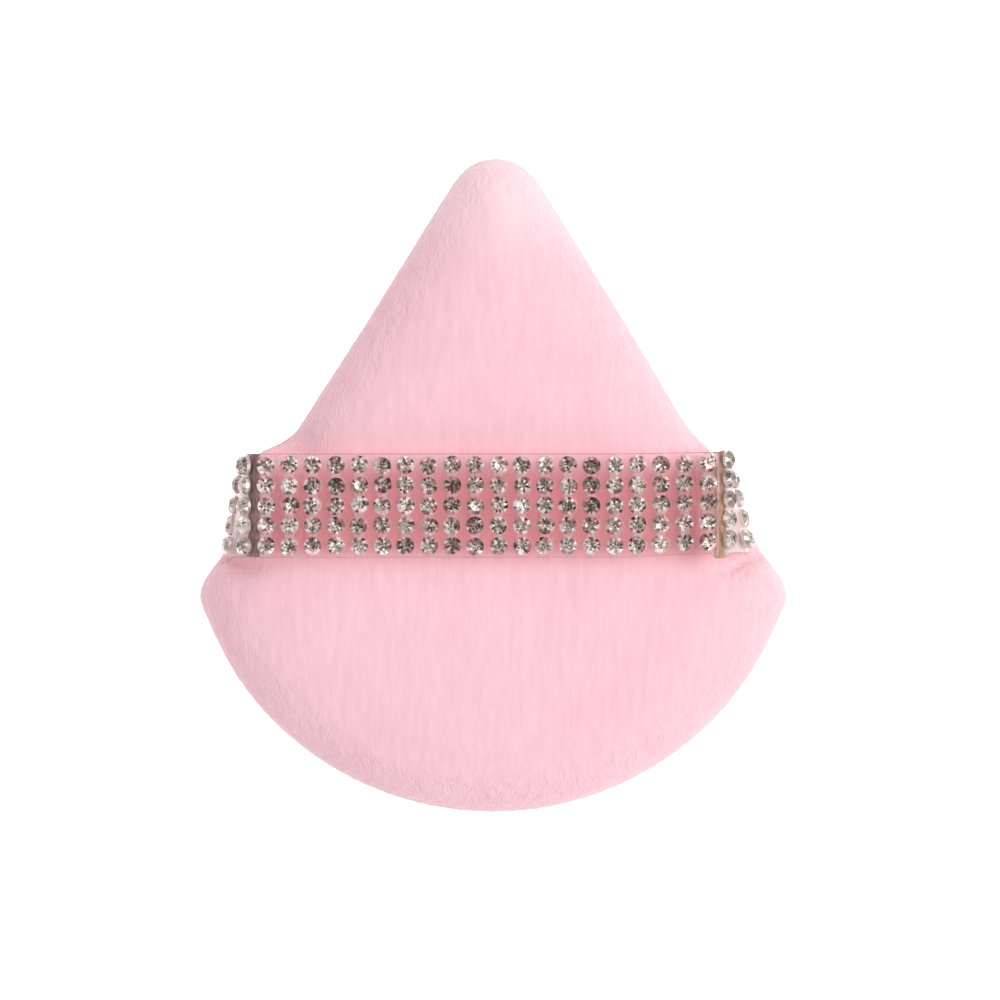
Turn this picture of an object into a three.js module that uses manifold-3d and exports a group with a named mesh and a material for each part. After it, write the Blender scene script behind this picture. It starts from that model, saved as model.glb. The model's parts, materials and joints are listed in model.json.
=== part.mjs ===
// A triangular velvet powder puff with a clear finger strap that carries rows of faceted stones.
// Millimetres, +Z up. The puff lies on its powder face with the tip along +Y and the strap on top.
// The origin is below the middle of the outline, on the surface that the puff lies on.

import * as THREE from 'three';
import { ConvexGeometry } from 'three/addons/geometries/ConvexGeometry.js';
import { mergeVertices } from 'three/addons/utils/BufferGeometryUtils.js';
import Module from 'manifold-3d';

const wasm = await Module();
wasm.setup();

// driving dimensions

const OUTLINE = {
  length: 79.7,                                  // tip to the lowest point of the bottom arc
  tipRadius: 6,
  halfAngle: THREE.MathUtils.degToRad(31.75),    // between a straight side and the Y axis
  bottomRadius: 37.6,
  cornerRadius: 3.5,
  leastRadius: 0.5,                              // what a corner of an inner ring keeps
};

const PUFF = {
  seamHeight: 6.6,       // the side seam above the resting surface
  crownHeight: 14,
  shoulder: 6.4,         // height of the grip face above the seam where its edge roll ends
  rollWidth: 9.5,        // how far in the edge roll of the grip face reaches
  powderRoll: 8,         // the same on the powder face, which lies flat inside it
  fabric: 1.2,           // velvet with its backing
};

const SEAM = {
  gap: 0.1,              // between the two flanges
  flange: 0.9,           // thickness of each flange, its pile pressed flat
  flangeReach: 4.6,      // how far in the seam allowance lies
  crease: 0.5,           // depth of the groove that shows round the edge
  lip: 0.9,              // half width of that groove
  thread: 0.2,           // radius of the sewing thread
  stitchInset: 2.4,      // where the machine seam runs
  stitchPushShare: 0.65, // how far it gives way where the film presses in
  closingThread: 0.13,   // radius of the hand-sewn thread that closes the turning gap
  openingLength: 34,     // of the turning gap in the bottom arc
};

const FOAM_CLEARANCE = 0.3;

const STRAP = {
  centreX: -0.8,         // the strap is sewn in a little off the puff's axis
  centreY: -2.6,
  film: 0.4,
  fingerGap: 4.7,        // between the crown and the film
  creaseRadius: 0.6,
  creaseUpperAngle: THREE.MathUtils.degToRad(66),
  creaseLowerAngle: THREE.MathUtils.degToRad(42),
  leastShoulder: 0.1,    // of the straight run between the crease and the bend
  bendRadius: 2.4,       // softer bend under the shoulder
  flareLeft: 1.25,       // how far the flap's upper edge stands out from the crease
  flareRight: 0.85,
  lowFlareLeft: 3.4,     // how far its lower edge does
  lowFlareRight: 3.65,
  seamRadius: 0.9,       // where the film turns into the seam
  outLeft: 4.2,          // how far the film's upper edge stands past the plain side, at the seam
  outRight: 1.8,
  inLeft: 1.1,           // how far its lower edge lies inside it
  inRight: 2,
  tailReach: 4.2,        // how far in from the puff's side the tail lies in the seam
  tailGap: 0.1,          // above and below the tail
  lipGap: 0.3,           // between the film and the fabric's lip
};

// where the strap's stiff film draws the soft side seam out or presses it in
const EAR = {
  over: 0.2,             // fabric above the strap's upper edge
  rise: 5.3,             // length of the fabric's sweep up to the strap's corner
  riseCurve: 1.75,       // shape of that sweep
  fall: 2.5,             // length of the fabric's run back below the strap
  press: 0.8,            // depth that the film presses into the roll above the seam
  fade: 1.5,             // length over which the pocket round the tail closes
  edgeShare: 0.9,        // how much of the ear the edge roll starts with
  rollShare: 0.75,       // how far up the roll the strap's effects reach
  rollCurve: 1.6,        // shape of the ear's taper up the roll
};

const STONE = {
  radius: 1.1,
  tableRadius: 0.5,
  girdle: 0.42,          // height of the stone's widest edge
  table: 0.85,           // height of its flat top
  sides: 8,
};

const GLUE = {
  width: 1.5,
  topWidth: 0.9,
  height: 0.3,
  overhang: 0.5,         // past the last stone's middle
  lap: 0.1,              // of its runs from stone to stone, under each stone
  flapGap: 0.1,          // to the curved film of the flaps
};

const GRID = {
  rows: 5,
  frontColumns: 20,
  flapColumns: 3,        // below them the film is bare, so that it can be sewn
  across: 2.45,          // from row to row
  along: 2.819,          // from column to column, on round the creases
  toEdge: 1.4,           // from the outer rows to the film's edges
  toCrease: 1.06,        // from the last front column to the crease
};

const STEPS = {
  tipCount: 6,
  cornerCount: 4,
  bottomCount: 12,
  creaseCount: 3,
  bendCount: 4,
  seamCount: 6,
  flapCount: 5,
};

// levels and sizes that several pieces share

const strapWidth = (GRID.rows - 1) * GRID.across + 2 * GRID.toEdge;
const frontHalf = (GRID.frontColumns - 1) / 2 * GRID.along + GRID.toCrease;
const puffTop = OUTLINE.length / 2;
const puffBottom = -OUTLINE.length / 2;
const sinSide = Math.sin(OUTLINE.halfAngle);
const cosSide = Math.cos(OUTLINE.halfAngle);
const filmUnder = PUFF.crownHeight + STRAP.fingerGap;
const filmMiddle = filmUnder + STRAP.film / 2;
const filmTop = filmUnder + STRAP.film;
const strapTop = STRAP.centreY + strapWidth / 2;
const strapBottom = STRAP.centreY - strapWidth / 2;
const pocketLift = STRAP.film / 2 + STRAP.tailGap - SEAM.gap / 2;

const lerp = THREE.MathUtils.lerp;
const smooth = (share) => THREE.MathUtils.smoothstep(share, 0, 1);

// materials

const velvet = new THREE.MeshStandardMaterial({ color: 0xfbcbd7, roughness: 0.95, metalness: 0 });
const foam = new THREE.MeshStandardMaterial({ color: 0xf3efe6, roughness: 0.9, metalness: 0 });
const thread = new THREE.MeshStandardMaterial({ color: 0xf2b6c6, roughness: 0.7, metalness: 0 });
const clearFilm = new THREE.MeshStandardMaterial({ color: 0xe9e4e4, roughness: 0.15, metalness: 0 });
const crystal = new THREE.MeshStandardMaterial({ color: 0x9a918d, roughness: 0.08, metalness: 0.4 });

const puff = new THREE.Group();
puff.name = 'powder_puff';

function add(name, geometry, material) {
  const mesh = new THREE.Mesh(geometry, material);
  mesh.name = name;
  puff.add(mesh);
  return mesh;
}

// a closed skin over a row of rings, each a list of points, with a fan at both ends
function skin(rings, firstPole, lastPole) {
  const count = rings[0].length;
  const points = [firstPole, ...rings.flat(), lastPole];
  const index = [];
  const at = (ring, i) => 1 + ring * count + (i % count);
  for (let i = 0; i < count; i += 1) {
    index.push(0, at(0, i), at(0, i + 1));
    for (let ring = 0; ring + 1 < rings.length; ring += 1) {
      index.push(at(ring, i), at(ring + 1, i), at(ring + 1, i + 1));
      index.push(at(ring, i), at(ring + 1, i + 1), at(ring, i + 1));
    }
    index.push(points.length - 1, at(rings.length - 1, i + 1), at(rings.length - 1, i));
  }
  const geometry = new THREE.BufferGeometry();
  geometry.setFromPoints(points);
  geometry.setIndex(index);
  return geometry;
}

function middleOf(points) {
  const sum = points.reduce((total, point) => total.add(point), new THREE.Vector3());
  return sum.divideScalar(points.length);
}

function turnedInsideOut(geometry) {
  const index = geometry.getIndex();
  for (let i = 0; i < index.count; i += 3) {
    const second = index.getX(i + 1);
    index.setX(i + 1, index.getX(i + 2));
    index.setX(i + 2, second);
  }
  return geometry;
}

// the outline: a round tip, two straight sides, two small corners and a wide bottom arc

function outlineAt(inset) {
  const apexY = puffTop + OUTLINE.tipRadius / sinSide - OUTLINE.tipRadius - inset / sinSide;
  const tipRadius = Math.max(OUTLINE.tipRadius - inset, OUTLINE.leastRadius);
  const cornerRadius = Math.max(OUTLINE.cornerRadius - inset, OUTLINE.leastRadius);
  const bottomRadius = OUTLINE.bottomRadius - inset;
  const bottomY = puffBottom + OUTLINE.bottomRadius;
  const startX = -cornerRadius * cosSide;
  const startY = apexY - cornerRadius * sinSide - bottomY;
  const along = startX * sinSide - startY * cosSide;
  const reach = bottomRadius - cornerRadius;
  const cornerRun = Math.sqrt(along ** 2 - startX ** 2 - startY ** 2 + reach ** 2) - along;
  const cornerX = startX + cornerRun * sinSide;
  const cornerY = apexY - cornerRadius * sinSide - cornerRun * cosSide;
  return {
    apexY,
    tipRadius,
    tipY: apexY - tipRadius / sinSide,
    tipRun: tipRadius * cosSide / sinSide,
    cornerRadius,
    cornerRun,
    cornerX,
    cornerY,
    cornerAngle: Math.atan2(cornerY - bottomY, cornerX),
    bottomRadius,
    bottomY,
  };
}

const edge = outlineAt(0);

// runs along a straight side from the apex, and distances out from it
const runOf = (side, x, y) => (edge.apexY - y) * cosSide + side * x * sinSide;
const outOf = (side, x, y) => side * x * cosSide - (edge.apexY - y) * sinSide;
const sideX = (y) => (edge.apexY - y) * sinSide / cosSide;

// the strap's reach at the seam, from the strap's own middle
function seamReach(side, y) {
  const share = (strapTop - y) / strapWidth;
  const upper = sideX(strapTop) + (side < 0 ? STRAP.outLeft : STRAP.outRight);
  const lower = sideX(strapBottom) - (side < 0 ? STRAP.inLeft : STRAP.inRight);
  return lerp(upper, lower, share) - side * STRAP.centreX;
}

// what the strap does to each side: how far the seam is drawn out, and where its pocket opens
function strapEffect(side) {
  const lip = (y) => STRAP.centreX + side * (seamReach(side, y) - STRAP.film / 2 - STRAP.lipGap);
  const topY = strapTop + EAR.over;
  const topRun = runOf(side, lip(topY), topY);
  const topOut = outOf(side, lip(topY), topY);
  const bottomRun = runOf(side, lip(strapBottom), strapBottom);
  const bottomOut = outOf(side, lip(strapBottom), strapBottom);
  const pocketStart = (edge.apexY - strapTop - STRAP.tailReach * sinSide) / cosSide - STRAP.lipGap;
  const pocketEnd = bottomRun + STRAP.lipGap;
  const seam = (run) => {
    const start = topRun - EAR.rise;
    if (run <= start) return 0;
    if (run < topRun) return topOut * ((run - start) / EAR.rise) ** EAR.riseCurve;
    if (run < bottomRun) return lerp(topOut, bottomOut, (run - topRun) / (bottomRun - topRun));
    return bottomOut * (1 - smooth((run - bottomRun) / EAR.fall));
  };
  const pocket = (run) => {
    const opens = smooth((run - pocketStart + EAR.fade) / EAR.fade);
    const closes = smooth((pocketEnd + EAR.fade - run) / EAR.fade);
    return Math.min(opens, closes);
  };
  return { topRun, bottomRun, pocketStart, pocketEnd, seam, pocket };
}

const strapEffects = { '-1': strapEffect(-1), 1: strapEffect(1) };

// stations round the outline, where every ring of the puff has a point

const betweenShares = [0.25, 0.5, 0.75];
const riseShares = [0.35, 0.68];
const fallShare = 0.6;

function sideRuns(side) {
  const effect = strapEffects[side];
  const riseStart = effect.topRun - EAR.rise;
  const upper = effect.pocketStart - EAR.fade;
  return [
    ...betweenShares.map((share) => lerp(edge.tipRun, upper, share)),
    upper,
    riseStart,
    ...riseShares.map((share) => riseStart + share * EAR.rise),
    effect.topRun,
    ...betweenShares.map((share) => lerp(effect.topRun, effect.bottomRun, share)),
    effect.bottomRun,
    effect.pocketEnd,
    effect.bottomRun + fallShare * EAR.fall,
    effect.bottomRun + EAR.fall,
  ];
}

function station(place, side, share) {
  if (place !== 'side') return { place, side, share, seam: 0, pocket: 0 };
  const run = lerp(edge.tipRun, edge.cornerRun, share);
  const effect = strapEffects[side];
  return { place, side, share, seam: effect.seam(run), pocket: effect.pocket(run) };
}

// shares from 0 to 1 in even steps
const steps = (count) => Array.from({ length: count + 1 }, (_, i) => i / count);

function sideStations(side) {
  const length = edge.cornerRun - edge.tipRun;
  return sideRuns(side)
    .sort((a, b) => a - b)
    .map((run) => station('side', side, (run - edge.tipRun) / length));
}

const stations = [
  ...steps(STEPS.tipCount).map((share) => station('tip', 0, share)),
  ...sideStations(-1),
  ...steps(STEPS.cornerCount).map((share) => station('corner', -1, share)),
  ...steps(STEPS.bottomCount).slice(1, -1).map((share) => station('bottom', 0, share)),
  ...steps(STEPS.cornerCount).map((share) => station('corner', 1, 1 - share)),
  ...sideStations(1).reverse(),
];

function outlinePoint({ place, side, share }, shape) {
  const arc = (centreX, centreY, radius, angle, mirror = 1) => {
    const normal = new THREE.Vector2(mirror * Math.cos(angle), Math.sin(angle));
    const point = new THREE.Vector2(mirror * centreX, centreY).addScaledVector(normal, radius);
    return { point, normal };
  };
  const half = OUTLINE.halfAngle;
  if (place === 'tip') return arc(0, shape.tipY, shape.tipRadius, lerp(half, Math.PI - half, share));
  if (place === 'corner') {
    const angle = lerp(half, shape.cornerAngle, share);
    return arc(shape.cornerX, shape.cornerY, shape.cornerRadius, angle, side);
  }
  if (place === 'bottom') {
    const angle = lerp(-Math.PI - shape.cornerAngle, shape.cornerAngle, share);
    return arc(0, shape.bottomY, shape.bottomRadius, angle);
  }
  const run = lerp(shape.tipRun, shape.cornerRun, share);
  return {
    point: new THREE.Vector2(side * run * sinSide, shape.apexY - run * cosSide),
    normal: new THREE.Vector2(side * cosSide, sinSide),
  };
}

// One ring of the puff. Shares say how much of the strap's effects the ring follows: seam is the
// seam's own line, ear only its outward part, push its inward part and the film's pressure, and
// pocket the room round the strap's tail. Heights are measured from the seam, up or down.
function ring(inset, height, follow = {}) {
  const shape = outlineAt(inset);
  const { seam = 0, ear = 0, push = 0, pocket = 0 } = follow;
  return stations.map((spot) => {
    const { point, normal } = outlinePoint(spot, shape);
    const pushed = Math.min(spot.seam, 0) - EAR.press * spot.pocket;
    const out = seam * spot.seam + ear * Math.max(spot.seam, 0) + push * pushed;
    point.addScaledVector(normal, out);
    const lifted = height + Math.sign(height) * pocket * spot.pocket * pocketLift;
    return new THREE.Vector3(point.x, point.y, PUFF.seamHeight + lifted);
  });
}

// the middle of the largest circle in the outline, where every skin closes
const poleY = (edge.apexY * sinSide + puffBottom) / (1 + sinSide);
const poleInset = poleY - puffBottom;
const pole = (height) => new THREE.Vector3(0, poleY, PUFF.seamHeight + height);

// the puff's section: height above the seam of the grip face, and depth of the powder face

const crownRise = PUFF.crownHeight - PUFF.seamHeight - PUFF.shoulder;
const outerShares = [0, 0.25, 0.5, 0.75, 1];
const hiddenShares = [0, 0.5, 1];
const crownShares = [0.35, 0.62];
const earFade = (share) => EAR.edgeShare * Math.max(1 - share / EAR.rollShare, 0) ** EAR.rollCurve;
const pushFade = (share) => smooth((1 - share) / EAR.rollShare);

const gripFace = { up: 1, roll: PUFF.rollWidth, shoulder: PUFF.shoulder, crown: crownRise, push: 1 };
const powderFace = { up: -1, roll: PUFF.powderRoll, shoulder: PUFF.seamHeight, crown: 0, push: 0 };

const crownAt = (face, inset) => face.crown * (1 - (1 - Math.min(inset / poleInset, 1)) ** 2);

// rings of one face from its edge to near its pole, moved in by a layer of the given thickness
function faceRings(face, layer, root) {
  const roll = (layer > 0 ? hiddenShares : outerShares).map((share) => {
    const angle = share * Math.PI / 2;
    const inset = layer + (face.roll - layer) * (1 - Math.cos(angle));
    const height = root + (face.shoulder - layer - root) * Math.sin(angle) + crownAt(face, inset);
    const follow = {
      ear: layer > 0 ? 0 : earFade(share),
      push: face.push * pushFade(share),
      pocket: share > 0 ? 0 : 1,
    };
    return ring(inset, face.up * height, follow);
  });
  const inner = crownShares.map((share) => {
    const inset = lerp(face.roll, poleInset, share);
    return ring(inset, face.up * (face.shoulder - layer + crownAt(face, inset)));
  });
  return [...roll, ...inner];
}

const facePole = (face, layer) => pole(face.up * (face.shoulder - layer + face.crown));

// each cover: its outer face, the groove at the edge, the flange in the seam and its inner face
function coverGeometry(face) {
  const under = face.up * SEAM.gap / 2;
  const over = face.up * (SEAM.gap / 2 + SEAM.flange);
  const rings = [
    ...faceRings(face, 0, SEAM.lip).reverse(),
    ring(SEAM.crease / 4, face.up * SEAM.lip / 2, { seam: 1, pocket: 1 }),
    ring(SEAM.crease, under, { seam: 1, pocket: 1 }),
    ring(SEAM.flangeReach, under, { pocket: 1 }),
    ring(SEAM.flangeReach, over, { pocket: 1 }),
    ring(PUFF.fabric, over, { push: face.push, pocket: 1 }),
    ...faceRings(face, PUFF.fabric, SEAM.lip + SEAM.flange),
  ];
  const geometry = skin(rings, facePole(face, 0), facePole(face, PUFF.fabric));
  return face.up > 0 ? geometry : turnedInsideOut(geometry);
}

// the foam fills the covers and has a groove all round for the seam's flanges and threads
function foamGeometry() {
  const layer = PUFF.fabric + FOAM_CLEARANCE;
  const notch = SEAM.gap / 2 + SEAM.flange + 2 * SEAM.thread + 2 * FOAM_CLEARANCE;
  const half = (face) => [
    ...faceRings(face, layer, notch).reverse(),
    ring(SEAM.flangeReach + FOAM_CLEARANCE, face.up * notch, { pocket: 1 }),
  ];
  const rings = [...half(gripFace), ...half(powderFace).reverse()];
  return skin(rings, facePole(gripFace, layer), facePole(powderFace, layer));
}

// a thread that follows the outline over the stations named, with a four-sided section
function threadGeometry(inset, height, radius, keep, follow) {
  const corners = [[0, 1], [1, 0], [0, -1], [-1, 0]];
  const runs = corners.map(([inward, up]) => ring(inset + inward * radius, height + up * radius, follow));
  const places = stations.map((_, i) => i).filter((i) => keep(stations[i]));
  const start = places.findIndex((place, i) => i > 0 && place !== places[i - 1] + 1);
  const ordered = start < 0 ? places : [...places.slice(start), ...places.slice(0, start)];
  const sections = ordered.map((i) => runs.map((run) => run[i]));
  return skin(sections, middleOf(sections[0]), middleOf(sections[sections.length - 1]));
}

const inOpening = ({ place, share }) => {
  const arc = edge.bottomRadius * (Math.PI + 2 * edge.cornerAngle);
  return place === 'bottom' && Math.abs(share - 0.5) * arc <= SEAM.openingLength / 2;
};
const inMachineSeam = (spot) => !inOpening(spot);

add('powder_face_cover', coverGeometry(powderFace), velvet);
add('grip_face_cover', coverGeometry(gripFace), velvet);
add('foam_core', foamGeometry(), foam);

const stitchHeight = SEAM.gap / 2 + SEAM.flange + SEAM.gap + SEAM.thread;
const upperStitch = { push: SEAM.stitchPushShare, pocket: 1 };
const lowerStitch = { pocket: 1 };
add(
  'seam_needle_thread',
  threadGeometry(SEAM.stitchInset, stitchHeight, SEAM.thread, inMachineSeam, upperStitch),
  thread,
);
add(
  'seam_bobbin_thread',
  threadGeometry(SEAM.stitchInset, -stitchHeight, SEAM.thread, inMachineSeam, lowerStitch),
  thread,
);
add(
  'closing_thread',
  threadGeometry(SEAM.crease / 2, 0, SEAM.closingThread, inOpening, {}),
  thread,
);

// Headings in the strap's section turn from level to straight down and on to straight back in.
const normalAt = (heading) => new THREE.Vector2(Math.sin(heading), Math.cos(heading));
const forwardAt = (heading) => new THREE.Vector2(Math.cos(heading), -Math.sin(heading));

// a point some distance along a run of arcs and straights, where a straight has no radius
function pointAlong(start, parts, distance) {
  const at = start.clone();
  let heading = 0;
  let left = distance;
  parts.forEach(({ length, radius }) => {
    const run = Math.min(left, length);
    left -= run;
    if (radius) {
      at.addScaledVector(normalAt(heading), -radius);
      heading += run / radius;
      at.addScaledVector(normalAt(heading), radius);
    } else {
      at.addScaledVector(forwardAt(heading), run);
    }
  });
  return { at, heading };
}

// The film's path at one height of the strap: over the crease, out along a straight shoulder, round
// the bend, down the flap and into the seam. Distances start at the crease.
function flapPath(side, y) {
  const share = (strapTop - y) / strapWidth;
  const creaseAngle = lerp(STRAP.creaseUpperAngle, STRAP.creaseLowerAngle, share);
  const flare = side < 0
    ? lerp(STRAP.flareLeft, STRAP.lowFlareLeft, share)
    : lerp(STRAP.flareRight, STRAP.lowFlareRight, share);
  const roundReach = STRAP.creaseRadius * Math.sin(creaseAngle)
    + STRAP.bendRadius * (1 - Math.sin(creaseAngle));
  const shoulderLength = (flare - roundReach) / Math.cos(creaseAngle);
  const start = new THREE.Vector2(frontHalf, filmMiddle);
  const crease = { radius: STRAP.creaseRadius, length: STRAP.creaseRadius * creaseAngle };
  const shoulder = { length: Math.max(shoulderLength, STRAP.leastShoulder) };
  const bendStart = pointAlong(start, [crease, shoulder], crease.length + shoulder.length).at;
  const bendCentre = bendStart.addScaledVector(normalAt(creaseAngle), -STRAP.bendRadius);
  const seamCentre = new THREE.Vector2(
    seamReach(side, y) - STRAP.seamRadius,
    PUFF.seamHeight + STRAP.seamRadius,
  );
  const between = seamCentre.sub(bendCentre);
  const fallHeading = Math.atan2(-between.y, between.x);
  const radiusStep = STRAP.bendRadius - STRAP.seamRadius;
  const steepest = fallHeading + Math.asin(radiusStep / between.length());
  const parts = [
    crease,
    shoulder,
    { radius: STRAP.bendRadius, length: STRAP.bendRadius * (steepest - creaseAngle) },
    { length: Math.sqrt(between.lengthSq() - radiusStep ** 2) },
    { radius: STRAP.seamRadius, length: STRAP.seamRadius * (Math.PI - steepest) },
  ];
  const counts = [STEPS.creaseCount, 1, STEPS.bendCount, 1, STEPS.seamCount];
  const stops = [0];
  parts.forEach(({ length }, i) => {
    const passed = stops[stops.length - 1];
    steps(counts[i]).slice(1).forEach((done) => stops.push(passed + done * length));
  });
  const pointAt = (distance) => pointAlong(start, parts, distance);
  const tailEnd = sideX(y) - STRAP.tailReach / cosSide - side * STRAP.centreX;
  const tail = { at: new THREE.Vector2(tailEnd, PUFF.seamHeight), heading: Math.PI };
  return { pointAt, samples: [...stops.map(pointAt), tail] };
}

// a point on the flap, moved off the film's middle along its outward normal
function flapPoint(side, y, { at, heading }, off) {
  return new THREE.Vector3(
    STRAP.centreX + side * (at.x + off * Math.sin(heading)),
    y,
    at.y + off * Math.cos(heading),
  );
}

function flapGeometry(side) {
  const lines = steps(STEPS.flapCount).map((share) => {
    const y = lerp(strapTop, strapBottom, share);
    const { samples } = flapPath(side, y);
    const outer = samples.map((sample) => flapPoint(side, y, sample, STRAP.film / 2));
    const inner = samples.map((sample) => flapPoint(side, y, sample, -STRAP.film / 2));
    return [...outer, ...inner.reverse()];
  });
  return stripSolid(lines, side > 0);
}

// a solid between closed section lines that are no fans: each end is a strip of its own
function stripSolid(lines, mirrored) {
  const count = lines[0].length;
  const half = count / 2;
  const index = [];
  const at = (line, i) => line * count + (i % count);
  for (let line = 0; line + 1 < lines.length; line += 1) {
    for (let i = 0; i < count; i += 1) {
      index.push(at(line, i), at(line, i + 1), at(line + 1, i + 1));
      index.push(at(line, i), at(line + 1, i + 1), at(line + 1, i));
    }
  }
  const last = lines.length - 1;
  for (let i = 0; i + 1 < half; i += 1) {
    const across = count - 1 - i;
    index.push(at(0, i), at(0, across), at(0, across - 1));
    index.push(at(0, i), at(0, across - 1), at(0, i + 1));
    index.push(at(last, i), at(last, across - 1), at(last, across));
    index.push(at(last, i), at(last, i + 1), at(last, across - 1));
  }
  const geometry = new THREE.BufferGeometry();
  geometry.setFromPoints(lines.flat());
  geometry.setIndex(index);
  return mirrored ? turnedInsideOut(geometry) : geometry;
}

const front = add(
  'strap_film',
  new THREE.BoxGeometry(2 * frontHalf, strapWidth, STRAP.film),
  clearFilm,
);
front.position.set(STRAP.centreX, STRAP.centreY, filmMiddle);
add('strap_end_left', flapGeometry(-1), clearFilm);
add('strap_end_right', flapGeometry(1), clearFilm);

// the stones: each column is five faceted stones set in one bead of clear glue

function solidOf(geometry) {
  const bare = geometry.clone();
  bare.deleteAttribute('normal');
  bare.deleteAttribute('uv');
  const merged = mergeVertices(bare);
  return new wasm.Manifold(new wasm.Mesh({
    numProp: 3,
    vertProperties: new Float32Array(merged.getAttribute('position').array),
    triVerts: new Uint32Array(merged.getIndex().array),
  }));
}

function geometryOf(solid) {
  const mesh = solid.getMesh();
  const geometry = new THREE.BufferGeometry();
  geometry.setAttribute('position', new THREE.BufferAttribute(mesh.vertProperties, 3));
  geometry.setIndex(new THREE.BufferAttribute(mesh.triVerts, 1));
  return geometry;
}

function polygon(radius, height, turnShare) {
  return steps(STONE.sides).slice(1).map((share) => {
    const angle = (share + turnShare / STONE.sides) * 2 * Math.PI;
    return new THREE.Vector3(radius * Math.cos(angle), radius * Math.sin(angle), height);
  });
}

// a brilliant set flat: girdle wall, eight crown facets each way and the table
function stoneGeometry() {
  const rings = [
    polygon(STONE.radius, 0, 0),
    polygon(STONE.radius, STONE.girdle, 0),
    polygon(STONE.tableRadius, STONE.table, 0.5),
  ];
  return new ConvexGeometry(rings.flat());
}

// the bead's section at a stone's place, moved along the column
function beadSection(place, along) {
  const corners = [
    [-GLUE.width / 2, 0],
    [GLUE.width / 2, 0],
    [GLUE.topWidth / 2, GLUE.height],
    [-GLUE.topWidth / 2, GLUE.height],
  ];
  return corners.map(([across, up]) => new THREE.Vector3(across, along, up).applyMatrix4(place));
}

// the stones in their places and the bead that joins them
function columnGeometry(places) {
  const last = places.length - 1;
  const beads = places.slice(1).map((place, i) => new ConvexGeometry([
    ...beadSection(places[i], i === 0 ? GLUE.overhang : GLUE.lap),
    ...beadSection(place, i + 1 === last ? -GLUE.overhang : -GLUE.lap),
  ]));
  const stones = places.map((place) => stoneGeometry().applyMatrix4(place));
  return geometryOf([...stones, ...beads].map(solidOf).reduce((column, piece) => column.add(piece)));
}

const rowOffsets = steps(GRID.rows - 1).map((share) => (0.5 - share) * (GRID.rows - 1) * GRID.across);
const frontPlaces = rowOffsets.map((offset) => new THREE.Matrix4().makeTranslation(0, offset, 0));

// a stone's place on a flap: it lies along the film's slant and faces as the film does there
function flapPlace(side, distance, y) {
  const on = (height) => {
    const place = flapPath(side, height).pointAt(distance);
    return flapPoint(side, height, place, STRAP.film / 2 + GLUE.flapGap);
  };
  const { heading } = flapPath(side, y).pointAt(distance);
  const facing = new THREE.Vector3(side * Math.sin(heading), 0, Math.cos(heading));
  const along = on(y + STONE.radius).sub(on(y - STONE.radius)).normalize();
  const across = along.clone().cross(facing).normalize();
  const out = across.clone().cross(along);
  return new THREE.Matrix4().makeBasis(across, along, out).setPosition(on(y));
}

// column 1 is the lowest on the left flap, and the last is the lowest on the right one
const columns = GRID.frontColumns + 2 * GRID.flapColumns;
const frontColumn = columnGeometry(frontPlaces);
for (let column = 0; column < columns; column += 1) {
  const name = `stone_column_${String(column + 1).padStart(2, '0')}`;
  const fromMiddle = column - (columns - 1) / 2;
  const side = Math.sign(fromMiddle);
  const pastFront = Math.abs(fromMiddle) - (GRID.frontColumns - 1) / 2;
  if (pastFront > 0) {
    const distance = pastFront * GRID.along - GRID.toCrease;
    const places = rowOffsets.map((offset) => flapPlace(side, distance, STRAP.centreY + offset));
    add(name, columnGeometry(places), crystal);
  } else {
    const x = STRAP.centreX + fromMiddle * GRID.along;
    add(name, frontColumn, crystal).position.set(x, STRAP.centreY, filmTop);
  }
}

export default puff;
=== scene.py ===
# %% [markdown]
# # A velvet powder puff with a strap of stones
# The real object is a triangle of foam in two velvet covers, sewn together all round, with a clear
# film strap that carries 26 columns of small foiled glass stones. The CAD model holds its sizes, its
# joint and its plain solids. This lesson gives each piece the surface that a hand and an eye meet.
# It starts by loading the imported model, because every new piece is placed by it.

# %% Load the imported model
import json
import math
import random

import bmesh
import bpy
import numpy as np
from mathutils import Matrix, Vector, noise


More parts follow.
